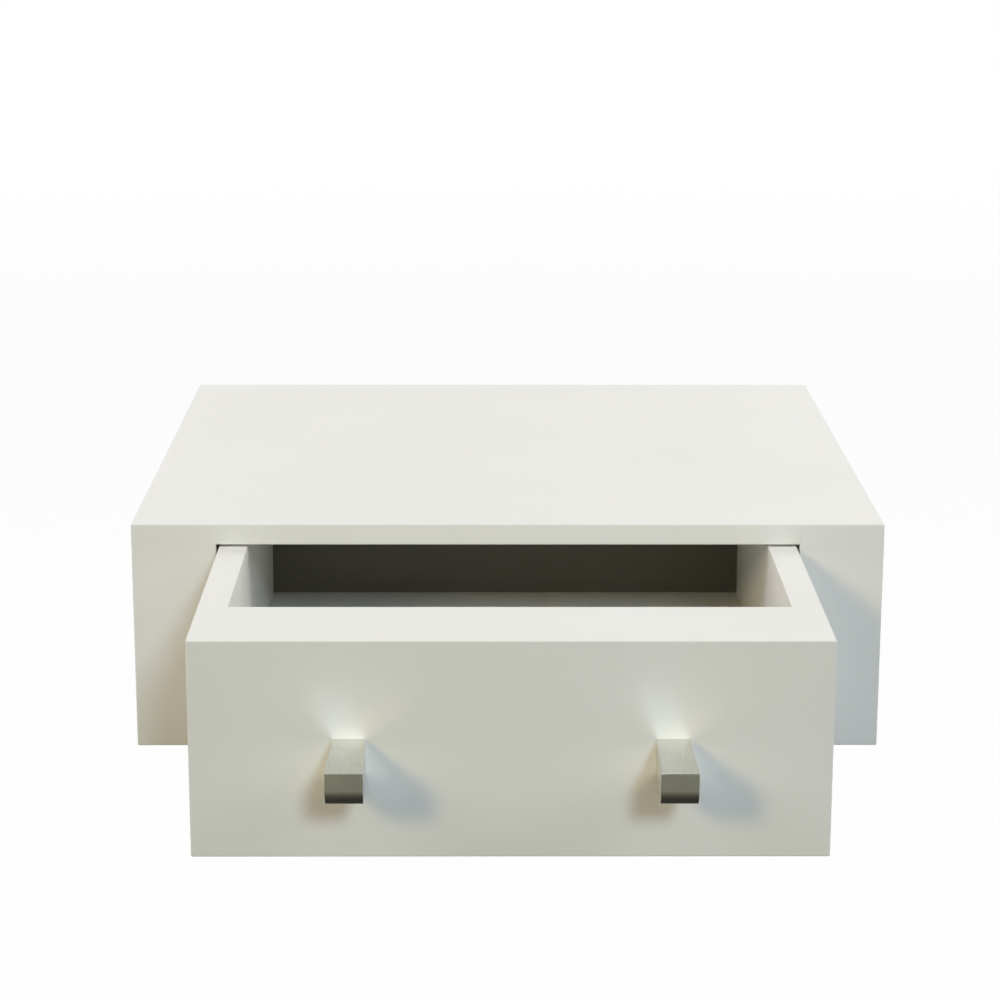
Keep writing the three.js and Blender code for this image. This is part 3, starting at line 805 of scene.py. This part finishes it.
# Studio light
# Two far lamps in front, a warm one on the left and a cool one on the right, throw the two soft
# shadows beside each knob and on the cheeks, and the glow above each knob, which is blurred only a
# little. Four broad lamps at the sides and behind do the rest.
FAR = {"distance": 7.0, "wide": 1.24}
BROAD = {"distance": 3.5, "wide": 2.4}
LAMPS = {
    "warm_left": {**FAR, "towards": (-0.652, -1.0, 0.545), "power": 110, "tint": (1.0, 0.78, 0.34)},
    "cool_right": {**FAR, "towards": (0.238, -1.0, 0.545), "power": 170, "tint": (0.68, 0.86, 1.0)},
    "left_side": {**BROAD, "towards": (-1.0, -0.25, 0.8), "power": 50, "tint": (0.92, 0.92, 1.0)},
    "right_side": {**BROAD, "towards": (1.0, -0.25, 0.8), "power": 54, "tint": (1.0, 0.96, 0.95)},
    "left_rear": {**BROAD, "towards": (-0.8, 0.9, 0.7), "power": 37.5, "tint": (1.0, 1.0, 1.0)},
    "right_rear": {**BROAD, "towards": (0.8, 0.9, 0.7), "power": 37.5, "tint": (1.0, 1.0, 1.0)},
}
LIT_POINT = Vector((0, -0.5, 0))
GLOW_BLUR = 0.3
AMBIENT = (0.01, 0.01, 0.01)

for name, lamp in LAMPS.items():
    data = bpy.data.lights.new(name, "AREA")
    data.shape = "DISK"
    data.size = lamp["wide"]
    data.energy = lamp["power"]
    data.color = lamp["tint"]
    towards = Vector(lamp["towards"]).normalized()
    light = bpy.data.objects.new(name, data)
    light.location = LIT_POINT + towards * lamp["distance"]
    light.rotation_euler = towards.to_track_quat("Z", "Y").to_euler()
    bpy.context.scene.collection.objects.link(light)

world = bpy.data.worlds.new("studio")
bpy.context.scene.world = world
world.use_nodes = True
tree = world.node_tree
tree.nodes.clear()
output = tree.nodes.new("ShaderNodeOutputWorld")
by_ray = tree.nodes.new("ShaderNodeMixShader")
soft = tree.nodes.new("ShaderNodeBackground")
white = tree.nodes.new("ShaderNodeBackground")
soft.inputs["Color"].default_value = (*AMBIENT, 1.0)
white.inputs["Color"].default_value = (1.0, 1.0, 1.0, 1.0)
tree.links.new(for_camera_gloss_or_glass(tree), by_ray.inputs["Fac"])
tree.links.new(soft.outputs["Background"], by_ray.inputs[1])
tree.links.new(white.outputs["Background"], by_ray.inputs[2])
tree.links.new(by_ray.outputs["Shader"], output.inputs["Surface"])
bpy.context.scene.view_settings.view_transform = "Standard"
bpy.context.scene.cycles.blur_glossy = GLOW_BLUR


# Camera
# Stands 2.2 m in front and half a metre up, and looks down by 14 degrees, as the photograph does. Its
# place was fitted to the corners of the case, the drawer and the knobs.
CAMERA_PLACE = (-0.0172, -2.1985, 0.5123)
CAMERA_LENS = 97.72
CAMERA_SENSOR = 36
NEAREST_SEEN = 0.05
FURTHEST_SEEN = 200
CAMERA_DOWN = math.radians(14.109)
CAMERA_RIGHT = math.radians(0.389)
CAMERA_ROLL = math.radians(0.107)

camera_data = bpy.data.cameras.new("photo_camera")
camera_data.lens = CAMERA_LENS
camera_data.sensor_width = CAMERA_SENSOR
camera_data.clip_start = NEAREST_SEEN
camera_data.clip_end = FURTHEST_SEEN
camera = bpy.data.objects.new("photo_camera", camera_data)
level = math.radians(90)
turn = Matrix.Rotation(-CAMERA_RIGHT, 4, "Z")
tilt = Matrix.Rotation(level - CAMERA_DOWN, 4, "X")
roll = Matrix.Rotation(CAMERA_ROLL, 4, "Z")
camera.matrix_world = Matrix.Translation(CAMERA_PLACE) @ turn @ tilt @ roll
bpy.context.scene.collection.objects.link(camera)
bpy.context.scene.camera = camera
